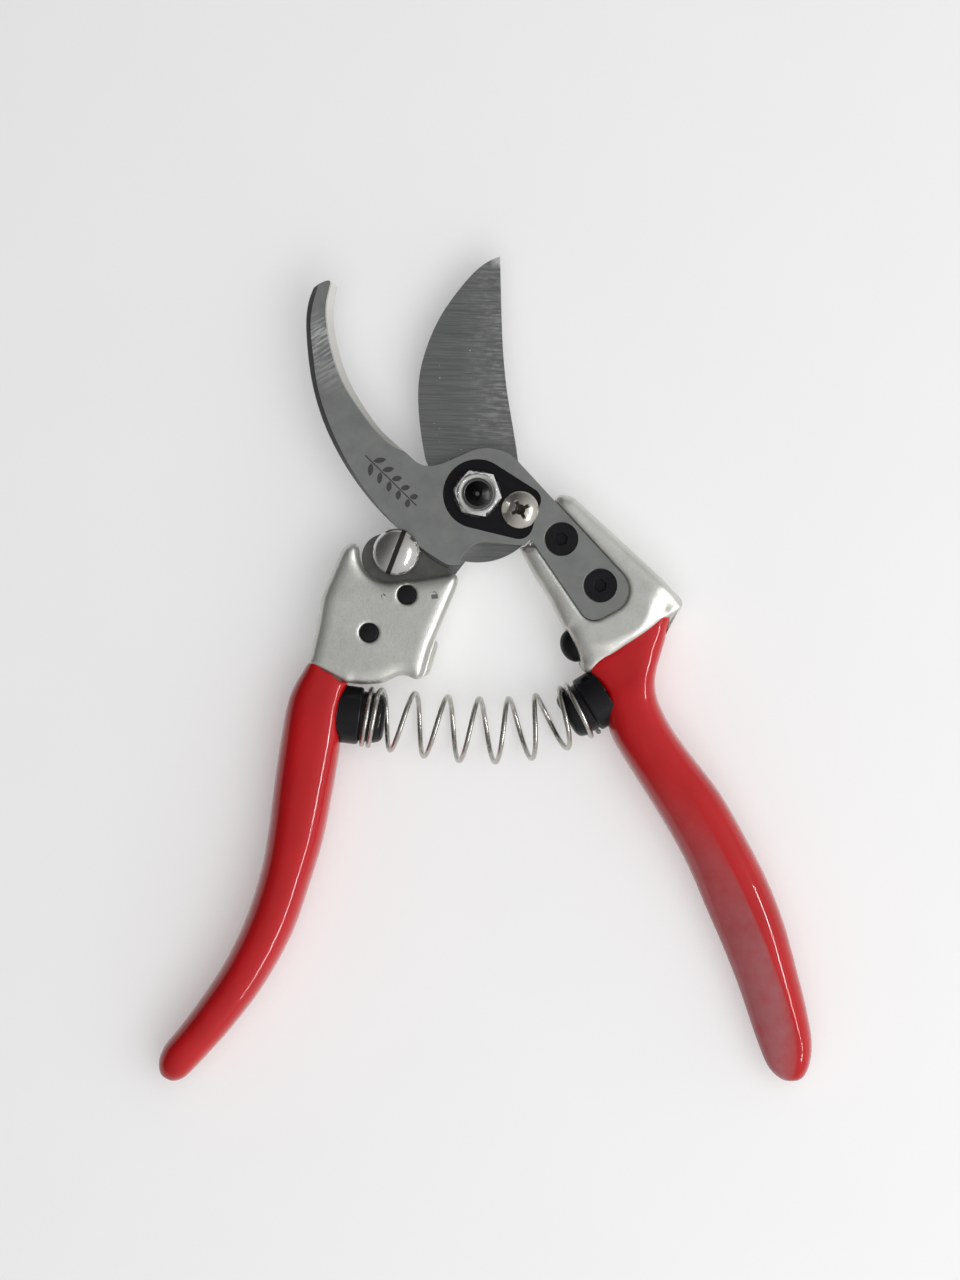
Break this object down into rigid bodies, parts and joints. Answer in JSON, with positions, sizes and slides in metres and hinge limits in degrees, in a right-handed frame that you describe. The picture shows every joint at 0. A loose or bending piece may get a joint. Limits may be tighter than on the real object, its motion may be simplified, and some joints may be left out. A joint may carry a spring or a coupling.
{
  "type": "bypass pruning shears",
  "caption": "Bypass pruning shears with a hooked counter blade, red dipped grips, an open coil spring and a thumb catch, lying flat with the handles open.",
  "frame": {"origin": "pivot axis in the plane that the bolt head and the grips rest on", "axes": "+Z along the pivot axis, up from the resting plane; +Y towards the jaws; +X towards the counter blade's handle"},
  "size_m": [0.1442, 0.1819, 0.018],
  "materials": {
    "counter_blade": "matte ground",
    "counter_handle": "satin cast",
    "counter_grip": "glossy dipped vinyl",
    "counter_blade_screws": "black oxide",
    "bumper": "satin",
    "counter_spring_seat": "gloss",
    "pivot_bolt": "polished",
    "pivot_washer": "satin",
    "pivot_nut": "polished",
    "nut_lock_plate": "black satin",
    "lock_plate_screw": "nickel plated",
    "spring": "drawn wire",
    "cutting_blade": "ground, fine cross lines",
    "blade_handle": "satin cast",
    "blade_grip": "glossy dipped vinyl",
    "blade_spring_seat": "gloss",
    "latch_pin": "black oxide",
    "blade_rivet": "black oxide",
    "latch_spring_washer": "spring steel",
    "latch_lever": "satin",
    "thumb_knob": "polished"
  },
  "bodies": {
    "counter_side": {"counter_blade": "counter_blade", "counter_handle": "counter_handle", "counter_grip": "counter_grip", "counter_blade_screws": "counter_blade_screws", "bumper": "bumper", "counter_spring_seat": "counter_spring_seat", "pivot_bolt": "pivot_bolt", "pivot_washer": "pivot_washer", "pivot_nut": "pivot_nut", "nut_lock_plate": "nut_lock_plate", "lock_plate_screw": "lock_plate_screw", "spring": "spring"},
    "cutting_side": {"cutting_blade": "cutting_blade", "blade_handle": "blade_handle", "blade_grip": "blade_grip", "blade_spring_seat": "blade_spring_seat", "latch_pin": "latch_pin", "blade_rivet": "blade_rivet", "latch_spring_washer": "latch_spring_washer"},
    "thumb_latch": {"latch_lever": "latch_lever", "thumb_knob": "thumb_knob"}
  },
  "joints": [
    {"name": "handle_pivot", "type": "hinge", "parent": "counter_side", "child": "cutting_side", "pos_m": [0, 0, 0], "axis": [0, 0, 1], "range_deg": [0, 43], "stiffness_Nm_per_rad": 0.8, "springref_deg": -5.73, "deforming": ["spring"]},
    {"name": "thumb_latch", "type": "hinge", "parent": "cutting_side", "child": "thumb_latch", "pos_m": [-0.0155, -0.0222, 0], "axis": [0, 0, 1], "range_deg": [-18, 0]}
  ]
}
